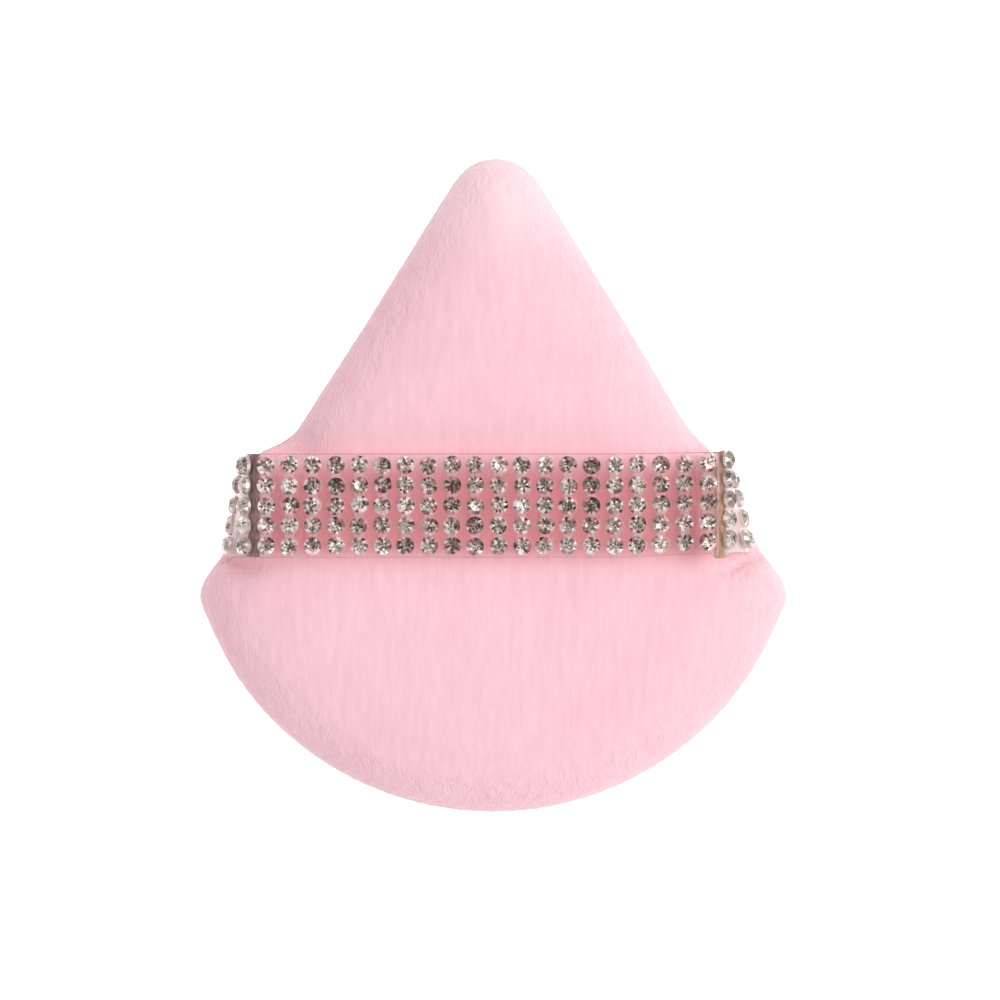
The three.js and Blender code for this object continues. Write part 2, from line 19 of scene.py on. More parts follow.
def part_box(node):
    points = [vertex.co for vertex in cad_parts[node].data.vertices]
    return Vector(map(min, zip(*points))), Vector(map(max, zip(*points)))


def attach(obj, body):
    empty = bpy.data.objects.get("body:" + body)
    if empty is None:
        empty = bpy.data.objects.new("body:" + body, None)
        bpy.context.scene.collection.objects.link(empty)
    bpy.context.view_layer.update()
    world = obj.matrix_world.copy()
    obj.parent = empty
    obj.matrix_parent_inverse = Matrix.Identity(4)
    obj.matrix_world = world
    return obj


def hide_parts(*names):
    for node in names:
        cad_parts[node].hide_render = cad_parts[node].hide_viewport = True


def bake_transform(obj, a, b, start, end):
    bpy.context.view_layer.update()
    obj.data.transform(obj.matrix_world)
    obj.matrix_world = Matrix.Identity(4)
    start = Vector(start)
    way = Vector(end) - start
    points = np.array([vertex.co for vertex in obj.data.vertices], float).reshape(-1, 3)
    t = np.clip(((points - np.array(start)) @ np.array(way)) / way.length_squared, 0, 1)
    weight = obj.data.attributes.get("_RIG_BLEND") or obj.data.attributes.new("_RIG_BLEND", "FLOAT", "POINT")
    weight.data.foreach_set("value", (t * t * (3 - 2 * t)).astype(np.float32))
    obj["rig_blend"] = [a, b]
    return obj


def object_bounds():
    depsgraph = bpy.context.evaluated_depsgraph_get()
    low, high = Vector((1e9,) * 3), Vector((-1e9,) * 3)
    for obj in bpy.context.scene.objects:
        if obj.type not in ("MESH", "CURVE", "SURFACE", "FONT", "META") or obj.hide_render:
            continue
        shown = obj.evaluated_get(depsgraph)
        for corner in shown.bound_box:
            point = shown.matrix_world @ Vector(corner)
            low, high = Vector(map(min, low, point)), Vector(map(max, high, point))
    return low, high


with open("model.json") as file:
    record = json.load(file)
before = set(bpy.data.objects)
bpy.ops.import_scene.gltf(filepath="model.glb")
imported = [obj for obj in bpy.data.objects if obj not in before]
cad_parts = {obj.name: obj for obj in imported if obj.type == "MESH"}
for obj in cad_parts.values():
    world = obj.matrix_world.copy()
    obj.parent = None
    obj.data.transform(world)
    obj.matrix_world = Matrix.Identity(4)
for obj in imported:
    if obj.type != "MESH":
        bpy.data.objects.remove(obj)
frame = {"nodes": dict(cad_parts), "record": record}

MM = 0.001
cad_low, cad_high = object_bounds()
cad_size = cad_high - cad_low
print("CAD box in mm:", [round(side / MM, 2) for side in cad_size])

# %% [markdown]
# ## Facts read from the model
# Sizes that the model already holds are measured on its nodes and not typed again. The seam's
# height is the middle of the thread that closes the turning gap, because that thread lies in the
# seam. The film's box gives the strap's level, and each stone column is found by its node's name.

# %% Measure what the new pieces follow
seam_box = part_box("closing_thread")
film_low, film_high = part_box("strap_film")
seam_height = (seam_box[0].z + seam_box[1].z) / 2
column_names = sorted(name for name in frame["nodes"] if name.startswith("stone_column_"))
print("seam at", round(seam_height / MM, 2), "mm, film top at", round(film_high.z / MM, 2), "mm")
print(len(column_names), "stone columns")

# %% [markdown]
# ## Working in edit mode from a script
# By hand one clicks a piece, presses Tab and picks faces. The helpers below do the same, and the
# last two count what was made. The loaded nodes are all selected at first, so everything is
# deselected before a piece is picked: otherwise an operator would also act on them.

# %% Helpers for picking and editing
def pick(piece):
    """Makes this piece the only selected one, and the active one."""
    bpy.ops.object.select_all(action="DESELECT")
    piece.select_set(True)
    bpy.context.view_layer.objects.active = piece


def edit(piece, kind="FACE"):
    """Opens the piece in edit mode with nothing selected."""
    pick(piece)
    bpy.ops.object.mode_set(mode="EDIT")
    bpy.ops.mesh.select_mode(type=kind)
    bpy.ops.mesh.select_all(action="DESELECT")


def leave_edit():
    bpy.ops.object.mode_set(mode="OBJECT")


def select_faces(piece, wanted):
    """Selects the faces for which wanted(face) is true."""
    net = bmesh.from_edit_mesh(piece.data)
    for face in net.faces:
        face.select_set(wanted(face))
    net.select_flush_mode()
    bmesh.update_edit_mesh(piece.data)


def apply_modifier(piece, kind, **settings):
    """Adds one modifier, sets it and applies it."""
    pick(piece)
    bpy.ops.object.modifier_add(type=kind)
    modifier = piece.modifiers[-1]
    for name, value in settings.items():
        setattr(modifier, name, value)
    bpy.ops.object.modifier_apply(modifier=modifier.name)


def triangles(piece):
    return sum(len(face.vertices) - 2 for face in piece.data.polygons)


def report(piece):
    print(piece.name, "has", triangles(piece), "triangles")


# %% [markdown]
# ## Starting from a copy of a solid
# The covers, the foam and the strap have the CAD model's own outline, with the seam drawn out where
# the stiff film enters it. Drawing that again from primitives would only lose accuracy, so each
# starts as a copy of its solid. The copy's loose triangles are merged first. For a round form they
# are also turned back into quads, because a subdivision surface flows along quads and shows lumps
# over triangles.

# %% Copy a node's mesh as the start of a new piece
MERGE_DISTANCE = 0.001 * MM


def copy_of(node, name):
    piece = bpy.data.objects.new(name, frame["nodes"][node].data.copy())
    bpy.context.scene.collection.objects.link(piece)
    piece.data.materials.clear()
    edit(piece, "VERT")
    bpy.ops.mesh.select_all(action="SELECT")
    bpy.ops.mesh.customdata_custom_splitnormals_clear()
    bpy.ops.mesh.remove_doubles(threshold=MERGE_DISTANCE)
    leave_edit()
    return piece


def copy_in_quads(node, name):
    piece = copy_of(node, name)
    edit(piece)
    bpy.ops.mesh.select_all(action="SELECT")
    bpy.ops.mesh.tris_convert_to_quads(face_threshold=math.pi, shape_threshold=math.pi)
    leave_edit()
    return piece


# %% [markdown]
# ## The velvet covers
# A velvet cover is a skin with a short pile. Its big form is round and taut over the foam, and its
# small form is the pile, which the hand leaves combed in faint streaks from tip to bottom. The big
# form comes from a subdivision surface over the copied solid. The small form needs even, small
# faces everywhere, which only a voxel remesh gives. After it, a few rounds of smoothing take away
# the voxels' steps, and every point is moved along its normal by the height of the pile there. Where
# the puff lies on its powder face the pile is pressed flat, so no point goes below the floor.

# %% Give a soft skin an even, fine net
COVER_VOXEL = 0.4 * MM
SMOOTHING = 0.5
SMOOTHING_ROUNDS = 4


def even_net(piece, voxel, levels):
    """Rounds the piece, then gives it small, even faces."""
    apply_modifier(piece, "SUBSURF", levels=levels, render_levels=levels)
    pick(piece)
    piece.data.remesh_voxel_size = voxel
    bpy.ops.object.voxel_remesh()
    apply_modifier(piece, "SMOOTH", factor=SMOOTHING, iterations=SMOOTHING_ROUNDS)
    bpy.ops.object.shade_smooth()


# %% [markdown]
# The noise that makes the pile is stretched along the puff, because the pile is combed that way.
# Shorter tufts lie on the streaks.

# %% Comb the pile
STREAK_WIDTH = 0.8 * MM
STREAK_LENGTH = 5 * MM
TUFT = 0.7 * MM
PILE_RISE = 0.1 * MM
STREAK_HEIGHT = 0.05 * MM
TUFT_HEIGHT = 0.05 * MM


def pile_height(point):
    """How far the pile stands out here: long streaks with short tufts on them."""
    streak = noise.noise((point.x / STREAK_WIDTH, point.y / STREAK_LENGTH, point.z / STREAK_WIDTH))
    tuft = noise.noise(point / TUFT)
    return PILE_RISE + STREAK_HEIGHT * streak + TUFT_HEIGHT * tuft


def comb_pile(piece):
    heights = [pile_height(vertex.co) for vertex in piece.data.vertices]
    normals = [vertex.normal.copy() for vertex in piece.data.vertices]
    for vertex, normal, height in zip(piece.data.vertices, normals, heights):
        vertex.co += normal * height
        vertex.co.z = max(vertex.co.z, 0)
    piece.data.update()


# %% [markdown]
# No triangle that is sewn by hand is quite even. This one's tip leans a little to the right, and its
# full bottom hangs a little lower and wider than the round of a subdivision surface leaves it. A
# small drift, eased in from the middle, gives both.

# %% Let the outline drift
TIP_LEAN = 0.3 * MM
LEAN_FROM = 8 * MM
LEAN_TO = 20 * MM
BOTTOM_FALL = 0.42 * MM
BOTTOM_SPREAD_SHARE = 0.009
BOTTOM_LEAN = 0.09 * MM
FALL_FROM = -4 * MM
FALL_TO = -28 * MM


def eased(value, low, high):
    """0 at low and 1 at high, with a soft start and end."""
    share = min(max((value - low) / (high - low), 0), 1)
    return share * share * (3 - 2 * share)


def drift(piece):
    """Leans the tip, and lets the bottom hang lower and wider."""
    for vertex in piece.data.vertices:
        point = vertex.co
        lean = eased(point.y, LEAN_FROM, LEAN_TO)
        fall = eased(point.y, FALL_FROM, FALL_TO)
        point.x += lean * TIP_LEAN + fall * (point.x * BOTTOM_SPREAD_SHARE - BOTTOM_LEAN)
        point.y -= fall * BOTTOM_FALL
    piece.data.update()


# %% Make both covers
def make_cover(node, name):
    cover = copy_in_quads(node, name)
    even_net(cover, COVER_VOXEL, levels=2)
    drift(cover)
    comb_pile(cover)
    report(cover)
    return cover


grip_cover = make_cover("grip_face_cover", "velvet_grip_cover")
powder_cover = make_cover("powder_face_cover", "velvet_powder_cover")

# %% [markdown]
# ## The foam
# The foam never shows, but it is what makes the puff plump, so it is a real piece. Its cut surface
# is porous. A coarser net than the velvet's is enough for pores of a few tenths of a millimetre.

# %% Make the foam core
FOAM_VOXEL = 0.9 * MM
PORE = 1.2 * MM
PORE_DEPTH = 0.08 * MM


def make_foam():
    foam = copy_in_quads("foam_core", "foam_filling")
    even_net(foam, FOAM_VOXEL, levels=1)
    drift(foam)
    for vertex in foam.data.vertices:
        vertex.co -= vertex.normal * PORE_DEPTH * abs(noise.noise(vertex.co / PORE))
    report(foam)
    return foam


foam_filling = make_foam()

# %% [markdown]
# ## The clear strap
# The strap is one strip of clear film, cut once, folded down at both sides and sewn into the seam.
# The CAD model has it as a flat front and two ends, because they move differently. Here the two
# ends are joined, their faces at the creases are deleted, and the two open loops are bridged, so
# that the film runs on without a break. A small bevel along the cut edges catches the light.

# %% Join the strap's ends and bridge the front
CREASE_REACH = 0.01 * MM
FRONT_CUTS = 24


def at_crease(face):
    """True for the two end faces that look at each other across the front."""
    xs = [vertex.co.x for vertex in face.verts]
    left = max(abs(x - film_low.x) for x in xs) < CREASE_REACH
    right = max(abs(x - film_high.x) for x in xs) < CREASE_REACH
    return left or right


def open_edges(piece):
    net = bmesh.from_edit_mesh(piece.data)
    return sum(not edge.is_manifold for edge in net.edges)


def make_strap():
    strap = copy_in_quads("strap_end_left", "clear_film_strap")
    other = copy_in_quads("strap_end_right", "strap_right_half")
    pick(strap)
    other.select_set(True)
    bpy.ops.object.join()
    edit(strap)
    select_faces(strap, at_crease)
    bpy.ops.mesh.delete(type="FACE")
    bpy.ops.mesh.select_mode(type="EDGE")
    bpy.ops.mesh.select_all(action="DESELECT")
    bpy.ops.mesh.select_non_manifold()
    bpy.ops.mesh.bridge_edge_loops(number_cuts=FRONT_CUTS, interpolation="LINEAR")
    print("open edges left in the strap:", open_edges(strap))
    leave_edit()
    return strap


film_strap = make_strap()
report(film_strap)

# %% Round the strap's cut edges and smooth its folds
SHARP = math.radians(60)
CUT_EDGE = 0.16 * MM


def finish_strap(strap):
    edit(strap, "EDGE")
    bpy.ops.mesh.edges_select_sharp(sharpness=SHARP)
    bpy.ops.mesh.bevel(offset=CUT_EDGE, segments=2, affect="EDGES")
    leave_edit()
    apply_modifier(strap, "SUBSURF", levels=2, render_levels=2)
    bpy.ops.object.shade_smooth()
    report(strap)


finish_strap(film_strap)

# %% [markdown]
# A clear film shows its cut edges as thin dark lines, the upper one more than the lower one; the
# lines are painted shade of the refracting edge. The points on both edges are marked, so that the
# finish can draw them.

# %% Mark the cut edges
MARKED_EDGE = 0.85 * CUT_EDGE
LOWER_MARK = 0.35


def mark_cut_edges(strap):
    mark = strap.data.attributes.new("cut_edge", "FLOAT", "POINT")
    for vertex, value in zip(strap.data.vertices, mark.data):
        if film_high.y - vertex.co.y < MARKED_EDGE:
            value.value = 1
        elif vertex.co.y - film_low.y < MARKED_EDGE:
            value.value = LOWER_MARK


mark_cut_edges(film_strap)
print("marked points:", sum(mark.value > 0 for mark in film_strap.data.attributes["cut_edge"].data))

# %% [markdown]
# Then the strap gets its bend: it was sewn in slightly askew, and over its last few columns at the
# right it turns towards the tip, most of all on the folded end. Under the right crease the glued
# film is drawn down to a small hook. The film and, later, the stones' places are moved by the same
# eased amounts.

# %% Bend the right end
BEND_RISE = 0.5 * MM
BEND_FROM = film_high.x - 13 * MM
BEND_TO = film_high.x + 1 * MM
BEND_TOP_SHARE = 0.4
FLAP_RISE = 0.42 * MM
FLAP_REACH = 1.5 * MM
HELD_EDGE = 2.5 * MM
HOOK_FALL = 0.6 * MM
HOOK_PLACE = film_high.x + 0.5 * MM
HOOK_REACH = 1.4 * MM
HOOK_FLAT = 0.4 * MM
HOOK_HEIGHT = 1.6 * MM


def bent(point):
    """Where a point of the straight strap lies once the strap is bent."""
    top_share = 1 - (1 - BEND_TOP_SHARE) * eased(point.y, film_low.y, film_high.y)
    rise = BEND_RISE * top_share * eased(point.x, BEND_FROM, BEND_TO)
    loose = eased(point.y, film_low.y - CUT_EDGE, film_low.y + HELD_EDGE)
    rise += FLAP_RISE * loose * eased(point.x, film_high.x, film_high.x + FLAP_REACH)
    hook = eased(abs(point.x - HOOK_PLACE), HOOK_REACH, HOOK_FLAT)
    rise -= HOOK_FALL * hook * eased(point.y, film_low.y + HOOK_HEIGHT, film_low.y)
    return point + Vector((0, rise, 0))


for vertex in film_strap.data.vertices:
    vertex.co = bent(vertex.co)
film_strap.data.update()
print("the right end rises by", round((BEND_RISE + FLAP_RISE) / MM, 2), "mm at most")

# %% [markdown]
# ## Where each stone lies
# A column is five stones in a row across the film. On the front they lie flat, and on the folded
# ends each is turned and tilted with the film under it. Instead of working the folds out again, each
# stone's place is read from its column's solid. There the triangles that lie in one plane are joined
# to one face each. The only faces with eight corners and the right area are then the stones' flat
# tables: the middle and the normal of each say where its stone sits and which way it looks.

# %% Read the stones' places from a column's solid
TABLE_HEIGHT = 0.85 * MM
TABLE_CORNERS = 8
SMALLEST_TABLE = 0.5 * MM * MM
LARGEST_TABLE = 1.0 * MM * MM
FLAT = math.radians(0.5)


def stone_tables(node):
    """The middles and normals of a column's tables, from the lowest in the picture upwards."""
    solid = copy_of(node, "measured")
    edit(solid)
    bpy.ops.mesh.select_all(action="SELECT")
    bpy.ops.mesh.dissolve_limited(angle_limit=FLAT)
    leave_edit()
    tables = [
        (face.center.copy(), face.normal.copy())
        for face in solid.data.polygons
        if len(face.vertices) == TABLE_CORNERS and SMALLEST_TABLE < face.area < LARGEST_TABLE
    ]
    bpy.data.objects.remove(solid)
    return sorted(tables, key=lambda table: table[0].y)


def stone_places(node):
    """One matrix for each stone: Y runs along the column and Z points out of the film."""
    tables = stone_tables(node)
    feet = [bent(middle - out * TABLE_HEIGHT) for middle, out in tables]
    places = []
    for row, (_, out) in enumerate(tables):
        along = feet[min(row + 1, len(feet) - 1)] - feet[max(row - 1, 0)]
        across = along.cross(out).normalized()
        place = Matrix((across, out.cross(across), out)).transposed().to_4x4()
        place.translation = feet[row]
        places.append(place)
    return places


column_places = {node: stone_places(node) for node in column_names}
stone_counts = sorted({len(places) for places in column_places.values()})
print("stones in a column:", stone_counts)
ROWS = stone_counts[0]
first_front = column_places[column_names[len(column_names) // 2]]
row_pitch = (first_front[-1].translation - first_front[0].translation).length / (ROWS - 1)
row_places = [(row - (ROWS - 1) / 2) * row_pitch for row in range(ROWS)]
print("rows are", round(row_pitch / MM, 3), "mm apart")

# %% [markdown]
# ## One stone
# The stones are small chatons: round, foiled behind, with a narrow girdle, a crown of facets and a
# table. From above one sees the facets behind through the table, as rays of dark and light that run
# to a point. A cylinder is the start. Its top is drawn in twice, each time turned by half a step:
# first for the crown and then for the rays. The last face is poked, and the twisted quads between
# the rings are cut into kites of two triangles.

# %% Model the stone once
STONE_SIDES = 12
STONE_RADIUS = 1.1 * MM
GIRDLE_HEIGHT = 0.42 * MM
TABLE_RADIUS = 0.66 * MM
RAY_RADIUS = 0.3 * MM
RAY_DIP = 0.035 * MM
LEVEL = 0.9
WALL = 0.2


def top_face(face):
    return face.normal.z > LEVEL and len(face.verts) == STONE_SIDES


def crown_kite(face):
    return face.normal.z > WALL and len(face.verts) == 4


def draw_in(radius, new_radius, rise, height):
    """Draws the top of the stone in to a smaller ring, turned by half a step."""
    bpy.ops.mesh.extrude_region_move(TRANSFORM_OT_translate={"value": (0, 0, rise)})
    share = new_radius / radius
    bpy.ops.transform.resize(value=(share, share, 1))
    bpy.ops.transform.rotate(
        value=math.pi / STONE_SIDES, orient_axis="Z", center_override=(0, 0, height)
    )


def make_stone():
    bpy.ops.object.select_all(action="DESELECT")
    bpy.ops.mesh.primitive_cylinder_add(
        vertices=STONE_SIDES,
        radius=STONE_RADIUS,
        depth=GIRDLE_HEIGHT,
        location=(0, 0, GIRDLE_HEIGHT / 2),
    )
    stone = bpy.context.object
    stone.name = "stone"
    bpy.ops.object.transform_apply(location=True)
    edit(stone)
    select_faces(stone, top_face)
    draw_in(STONE_RADIUS, TABLE_RADIUS, TABLE_HEIGHT - GIRDLE_HEIGHT, TABLE_HEIGHT)
    draw_in(TABLE_RADIUS, RAY_RADIUS, -RAY_DIP, TABLE_HEIGHT - RAY_DIP)
    bpy.ops.mesh.poke(offset=-RAY_DIP)
    select_faces(stone, crown_kite)
    bpy.ops.mesh.quads_convert_to_tris(quad_method="FIXED")
    leave_edit()
    report(stone)
    return stone


stone_shape = make_stone()

# %% [markdown]
# ## One bead of glue
# The stones of a column sit in one bead of clear glue, which climbs a little round each stone. A
# bar and five low cones are put into each other, and a voxel remesh melts them into one body with
# soft hollows where they meet, as glue does.

# %% Model the bead once
GLUE_WIDTH = 1.1 * MM
GLUE_HEIGHT = 0.34 * MM
GLUE_COLLAR = 1.18 * MM
GLUE_COLLAR_TOP = 1.06 * MM
COLLAR_SIDES = 24
GLUE_VOXEL = 0.11 * MM
GLUE_END = 0.4 * MM


def make_glue():
    bpy.ops.object.select_all(action="DESELECT")
    bpy.ops.mesh.primitive_cube_add(size=1, location=(0, 0, GLUE_HEIGHT / 2))
    glue = bpy.context.object
    glue.name = "glue"
    glue.scale = (GLUE_WIDTH, row_places[-1] - row_places[0] + 2 * GLUE_END, GLUE_HEIGHT)
    bpy.ops.object.transform_apply(location=True, scale=True)
    collars = []
    for place in row_places:
        bpy.ops.mesh.primitive_cone_add(
            vertices=COLLAR_SIDES,
            radius1=GLUE_COLLAR,
            radius2=GLUE_COLLAR_TOP,
            depth=GLUE_HEIGHT,
            location=(0, place, GLUE_HEIGHT / 2),
        )
        collars.append(bpy.context.object)
    pick(glue)
    for collar in collars:
        collar.select_set(True)
    bpy.ops.object.join()
    glue.data.remesh_voxel_size = GLUE_VOXEL
    bpy.ops.object.voxel_remesh()
    apply_modifier(glue, "SMOOTH", factor=SMOOTHING, iterations=SMOOTHING_ROUNDS)
    bpy.ops.object.shade_smooth()
    report(glue)
    return glue


glue_shape = make_glue()

# %% [markdown]
# ## 26 columns
# Foil behind a stone throws a pattern of light and dark, which is painted: every facet gets a tone
# between 0 and 1 and a share of painted pink reflection, which the crystal's material reads. The
# middle of a stone is painted dull, its crown brighter and with painted reflections of the pink
# velvet, and the facets at the lower left get a painted glint. The draws come from one seeded
# generator, so that the puff is the same each time.

# %% Draw a facet's tone and blush
MIDDLE_TONE = 0.16
RIM_TONE = 0.54
SIDE_TONE = 0.7
PAINTED_GLINT = 0.15
PAINTED_GLINT_WAY = math.radians(215)
MIRROR_SHARE = 0.24
LEAST_PINK_REFLECTION = 0.05
PINK_REFLECTION = 0.7
draw = random.Random(28)


def facet_tone(facet, turned, stone_tone, spread):
    """How bright a facet is painted: dull in the middle, brighter at the rim and towards the painted glint.
    """
    if facet.normal.z < WALL:
        return min(max(draw.gauss(SIDE_TONE, spread / 2), 0), 1)
    reach = facet.center.xy.length / STONE_RADIUS
    way = math.atan2(facet.center.y, facet.center.x) + turned
    tone = MIDDLE_TONE + (RIM_TONE - MIDDLE_TONE) * reach
    tone += PAINTED_GLINT * reach * math.cos(way - PAINTED_GLINT_WAY)
    return min(max(draw.gauss(tone + stone_tone, spread), 0), 1)


def facet_blush(facet):
    """How much painted reflection of the pink velvet a facet gets: more at the rim, where some show only
    that.
    """
    reach = facet.center.xy.length / STONE_RADIUS
    if draw.random() < MIRROR_SHARE * reach:
        return 1
    return LEAST_PINK_REFLECTION + PINK_REFLECTION * reach * draw.random()


# %% [markdown]
# Set by machine, the stones still differ: each is turned, tilted and shifted a little, and is a
# little lighter or darker than the next. So each column is its own mesh, into which the stone is
# copied five times. On the folded ends the foil is drawn more evenly, and the right one is painted
# darker, a painted shade against the main light that it faces, and the left one a little lighter.
# Where the kites were cut, Blender lists the facets of a ring in another order in each run. Their
# corners keep their numbers, so the draws go round by the corners.

# %% Add one stone to a column
STONE_TILT = math.radians(6)
STONE_SHIFT = 0.06 * MM
TONE_SPREAD = 0.26
STONE_SPREAD = 0.09
SHADED_FLAP_TONE = 0.04
LIT_FLAP_TONE = -0.16
FLAP_SPREAD_SHARE = 0.6
FLAP_PINK_REFLECTION_SHARE = 0.5
RING_STEP = 0.1 * MM


def is_on_flap(node):
    return node not in frame["record"]["behaviour"]["bodies"]["strap"]


def flap_tone(place):
    return LIT_FLAP_TONE if place.translation.x > 0 else SHADED_FLAP_TONE


def ring(facet):
    """Which ring round the stone's middle the facet lies in."""
    return round(facet.center.xy.length / RING_STEP)


def in_fixed_order(facets):
    """The facets with those of each ring sorted by their corners."""
    rings = {}
    for facet in sorted(facets, key=lambda facet: sorted(facet.vertices)):
        rings.setdefault(ring(facet), []).append(facet)
    return [rings[ring(facet)].pop(0) for facet in facets]


def add_mesh(net, data):
    """Adds a mesh to the net, removes it from the file and gives back its new faces."""
    first = len(net.faces)
    net.from_mesh(data)
    bpy.data.meshes.remove(data)
    net.faces.ensure_lookup_table()
    return net.faces[first:]


def add_stone(net, place, on_flap):
    turned = draw.uniform(0, 2 * math.pi)
    turn = Matrix.Rotation(turned, 4, "Z")
    tilt = Matrix.Rotation(draw.gauss(0, STONE_TILT), 4, draw.choice("XY"))
    shift = Matrix.Translation((draw.gauss(0, STONE_SHIFT), draw.gauss(0, STONE_SHIFT), 0))
    stone_tone = draw.gauss(0, STONE_SPREAD) + (flap_tone(place) if on_flap else 0)
    spread = TONE_SPREAD * (FLAP_SPREAD_SHARE if on_flap else 1)
    pink_reflection_share = FLAP_PINK_REFLECTION_SHARE if on_flap else 1
    facets = in_fixed_order(stone_shape.data.polygons)
    tones = [facet_tone(facet, turned, stone_tone, spread) for facet in facets]
    pink_reflections = [facet_blush(facet) * pink_reflection_share for facet in facets]
    stone = stone_shape.data.copy()
    stone.transform(place @ shift @ tilt @ turn)
    faces = add_mesh(net, stone)
    tone_layer = net.faces.layers.float["facet_tone"]
    pink_reflection_layer = net.faces.layers.float["facet_blush"]
    for facet, tone, pink_reflection in zip(facets, tones, pink_reflections):
        faces[facet.index][tone_layer] = tone
        faces[facet.index][pink_reflection_layer] = pink_reflection


# %% Lay the bead along its stones
def laid_along(point, places):
    """A point of the straight bead, moved to where the bead follows its stones."""
    row = min(max((point.y - row_places[0]) / row_pitch, 0), ROWS - 1)
    lower = min(int(row), ROWS - 2)
    share = row - lower
    ends = []
    for end in (lower, lower + 1):
        ends.append(places[end] @ Vector((point.x, point.y - row_places[end], point.z)))
    return ends[0].lerp(ends[1], share)


def add_bead(net, places):
    bead = glue_shape.data.copy()
    for vertex in bead.vertices:
        vertex.co = laid_along(vertex.co, places)
    for face in add_mesh(net, bead):
        face.material_index = 1
        face.smooth = True


# %% Make the columns
def make_column(node):
    places = column_places[node]
    net = bmesh.new()
    net.faces.layers.float.new("facet_tone")
    net.faces.layers.float.new("facet_blush")
    for place in places:
        add_stone(net, place, is_on_flap(node))
    add_bead(net, places)
    data = bpy.data.meshes.new(node.replace("stone_column", "stones"))
    net.to_mesh(data)
    net.free()
    column = bpy.data.objects.new(data.name, data)
    bpy.context.scene.collection.objects.link(column)
    return column


columns = {node: make_column(node) for node in column_names}
bpy.data.objects.remove(stone_shape)
bpy.data.objects.remove(glue_shape)
print(len(columns), "columns, each", triangles(next(iter(columns.values()))), "triangles")

# %% [markdown]
# ## Writing shader maths as sentences
# A material is a web of nodes. Written node by node it is hard to read, so one small class wraps a
# socket: plus, minus, times and to the power of then add the Math node that does the sum. A second
# class holds a material and adds any other node from its type, its settings and its sockets. Its
# patterns are given by their size on the puff, one for each way.

# %% A socket that can be reckoned with
class Value:
    def __init__(self, finish, socket):
        self.finish = finish
        self.socket = socket

    def _sum(self, operation, first, second):
        return self.finish.node("ShaderNodeMath", {"operation": operation}, {0: first, 1: second})

    def __add__(self, other):
        return self._sum("ADD", self, other)

    def __radd__(self, other):
        return self._sum("ADD", other, self)

    def __sub__(self, other):
        return self._sum("SUBTRACT", self, other)

    def __rsub__(self, other):
        return self._sum("SUBTRACT", other, self)

    def __mul__(self, other):
        return self._sum("MULTIPLY", self, other)

    def __rmul__(self, other):
        return self._sum("MULTIPLY", other, self)

    def __pow__(self, other):
        return self._sum("POWER", self, other)


# %% A material that is written as a finish
class Finish:
    def __init__(self, name):
        self.material = bpy.data.materials.new(name)
        self.material.use_nodes = True
        self.tree = self.material.node_tree
        self.tree.nodes.clear()

    def node(self, kind, settings=None, sockets=None, out=0):
        made = self.tree.nodes.new(kind)
        for name, value in (settings or {}).items():
            if name == "stops":
                self._set_stops(made.color_ramp, value)
            else:
                setattr(made, name, value)
        for key, value in (sockets or {}).items():
            if isinstance(value, Value):
                self.tree.links.new(value.socket, made.inputs[key])
            else:
                made.inputs[key].default_value = value
        return Value(self, made.outputs[out])

    def _set_stops(self, ramp, stops):
        while len(ramp.elements) < len(stops):
            ramp.elements.new(1)
        for element, (place, colour) in zip(ramp.elements, stops):
            element.position = place
            element.color = colour

    def place(self, sizes):
        """Object coordinates that count in steps of one size for each way."""
        coordinates = self.node("ShaderNodeTexCoord", out=3)
        scale = tuple(1 / size for size in sizes)
        return self.node("ShaderNodeMapping", {}, {"Vector": coordinates, "Scale": scale})

    def coordinates(self):
        """The three object coordinates as numbers."""
        vector = self.node("ShaderNodeTexCoord", out=3)
        parts = self.node("ShaderNodeSeparateXYZ", {}, {"Vector": vector}).socket.node.outputs
        return [Value(self, part) for part in parts]

    def facing(self, axis):
        """1 where the surface looks along an axis, 0 for X to 2 for Z, and 0 where it runs along it."""
        normal = self.node("ShaderNodeNewGeometry", out=1)
        part = self.node("ShaderNodeSeparateXYZ", {}, {"Vector": normal}, out=axis)
        return part * part

    def rise(self, value, low, high):
        """0 at low and 1 at high, with a soft start and end."""
        sockets = {"Value": value, "From Min": low, "From Max": high}
        return self.node("ShaderNodeMapRange", {"interpolation_type": "SMOOTHSTEP"}, sockets)

    def noise(self, sizes, detail=2, roughness=0.5, distortion=0):
        sockets = {"Vector": self.place(sizes), "Scale": 1, "Detail": detail}
        sockets.update({"Roughness": roughness, "Distortion": distortion})
        return self.node("ShaderNodeTexNoise", {}, sockets)

    def mix(self, factor, first, second):
        """A colour between two."""
        sockets = {0: factor, 6: first, 7: second}
        return self.node("ShaderNodeMix", {"data_type": "RGBA"}, sockets, out=2)

    def bump(self, height, distance, strength=1.0):
        sockets = {"Height": height, "Distance": distance, "Strength": strength}
        return self.node("ShaderNodeBump", {}, sockets)

    def attribute(self, name):
        """The numbers that the mesh carries under this name."""
        return self.node("ShaderNodeAttribute", {"attribute_name": name}, out=2)

    def finished(self, sockets):
        """The material, with one shader that has these sockets."""
        shader = self.node("ShaderNodeBsdfPrincipled", {}, sockets)
        output = self.tree.nodes.new("ShaderNodeOutputMaterial")
        self.tree.links.new(shader.socket, output.inputs["Surface"])
        return self.material


# %% A colour as the eye reads it
BRIGHTEST = 255
EYE_POWER = 2.2


def rgb(red, green, blue):
    """A colour with parts from 0 to 255, turned into light."""
    return tuple((part / BRIGHTEST) ** EYE_POWER for part in (red, green, blue)) + (1,)
